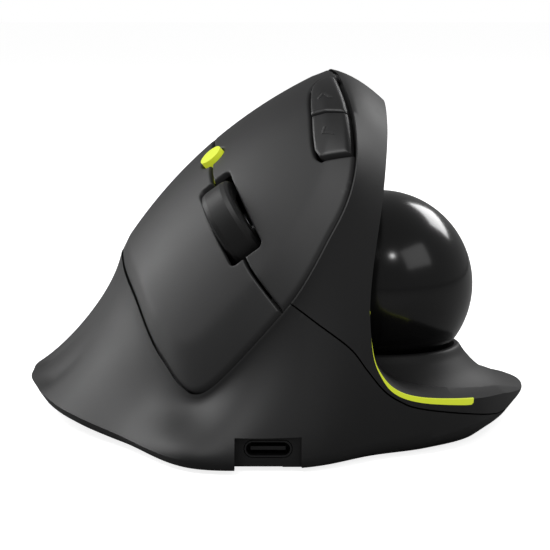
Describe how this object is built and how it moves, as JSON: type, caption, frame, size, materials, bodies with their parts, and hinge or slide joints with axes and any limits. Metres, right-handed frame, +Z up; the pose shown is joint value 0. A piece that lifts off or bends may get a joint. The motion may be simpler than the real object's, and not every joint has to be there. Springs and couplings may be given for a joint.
{
  "type": "vertical trackball mouse",
  "caption": "Right-handed vertical mouse with a thumb trackball, a leaning face with two long buttons and a scroll wheel, flared wings and a charging port in the nose.",
  "frame": {"origin": "centre of the bounding box's bottom, on the surface the feet rest on", "axes": "+X towards the thumb side with the ball, -Y towards the nose with the charging port, +Z up"},
  "size_m": [0.1066, 0.1216, 0.073],
  "materials": {
    "shell": null,
    "keys": null,
    "side_keys": null,
    "frame_plastic": null,
    "base_plastic": null,
    "feet": null,
    "steel": null,
    "lime": null,
    "tyre_rubber": null,
    "hub_plastic": null,
    "ball_gloss": null,
    "cup_plastic": null,
    "ceramic": null,
    "board": null,
    "lens": null,
    "port_steel": null,
    "battery_foil": null,
    "switch_plastic": null,
    "receiver_plastic": null
  },
  "bodies": {
    "housing": {"lower_shell": "shell", "thumb_shell": "shell", "palm_cover": "shell", "inner_frame": "frame_plastic", "base_plate": "base_plastic", "glide_feet": "feet", "case_screws": "steel", "ball_cup": "cup_plastic", "support_balls": "ceramic", "sensor_board": "board", "sensor_lens": "lens", "accent_strip": "lime", "main_board": "board", "usb_c_port": "port_steel", "battery": "battery_foil", "button_board": "board", "click_switches": "switch_plastic", "side_board": "board", "side_switches": "port_steel", "receiver": "receiver_plastic"},
    "wheel_mount": {"wheel_carrier": "frame_plastic"},
    "wheel": {"wheel_tyre": "tyre_rubber", "wheel_hub": "hub_plastic", "wheel_axle": "steel"},
    "ball": {"trackball": "ball_gloss"},
    "index_button_body": {"index_button": "keys"},
    "middle_button_body": {"middle_button": "keys"},
    "forward_button_body": {"forward_button": "side_keys"},
    "back_button_body": {"back_button": "side_keys"},
    "dpi_button_body": {"dpi_button": "lime"},
    "power_switch_body": {"power_switch": "lime"},
    "pairing_button_body": {"pairing_button": "hub_plastic"}
  },
  "joints": [
    {"name": "index_click", "type": "hinge", "parent": "housing", "child": "index_button_body", "pos_m": [-0.01138, 0.012, 0.05638], "axis": [0.76, 0, 0.65], "range_deg": [0, 0.8], "stiffness_Nm_per_rad": 2, "springref_deg": -1.15},
    {"name": "middle_click", "type": "hinge", "parent": "housing", "child": "middle_button_body", "pos_m": [-0.01138, 0.012, 0.05638], "axis": [0.76, 0, 0.65], "range_deg": [0, 0.8], "stiffness_Nm_per_rad": 2, "springref_deg": -1.15},
    {"name": "forward_press", "type": "slide", "parent": "housing", "child": "forward_button_body", "axis": [0.65, 0, -0.76], "range_m": [0, 0.0004], "stiffness_N_per_m": 1200, "springref_m": -0.0003},
    {"name": "back_press", "type": "slide", "parent": "housing", "child": "back_button_body", "axis": [0.65, 0, -0.76], "range_m": [0, 0.0004], "stiffness_N_per_m": 1200, "springref_m": -0.0003},
    {"name": "dpi_press", "type": "slide", "parent": "housing", "child": "dpi_button_body", "axis": [0.6266, 0.2656, -0.7327], "range_m": [0, 0.0004], "stiffness_N_per_m": 1200, "springref_m": -0.0003},
    {"name": "pairing_press", "type": "slide", "parent": "housing", "child": "pairing_button_body", "axis": [0, 0, 1], "range_m": [0, 0.0004], "stiffness_N_per_m": 1200, "springref_m": -0.0003},
    {"name": "wheel_click", "type": "slide", "parent": "housing", "child": "wheel_mount", "axis": [0.5436, 0.5482, -0.6356], "range_m": [0, 0.0004], "stiffness_N_per_m": 2500, "springref_m": -0.0003},
    {"name": "wheel_turn", "type": "hinge", "parent": "wheel_mount", "child": "wheel", "pos_m": [-0.00549, -0.02211, 0.04042], "axis": [0.8, -0.1092, 0.59], "continuous": true},
    {"name": "ball_roll", "type": "hinge", "parent": "housing", "child": "ball", "pos_m": [0.0224, 0, 0.0276], "axis": [1, 0, 0], "continuous": true},
    {"name": "power_slide", "type": "slide", "parent": "housing", "child": "power_switch_body", "axis": [1, 0, 0], "range_m": [0, 0.0018]}
  ]
}
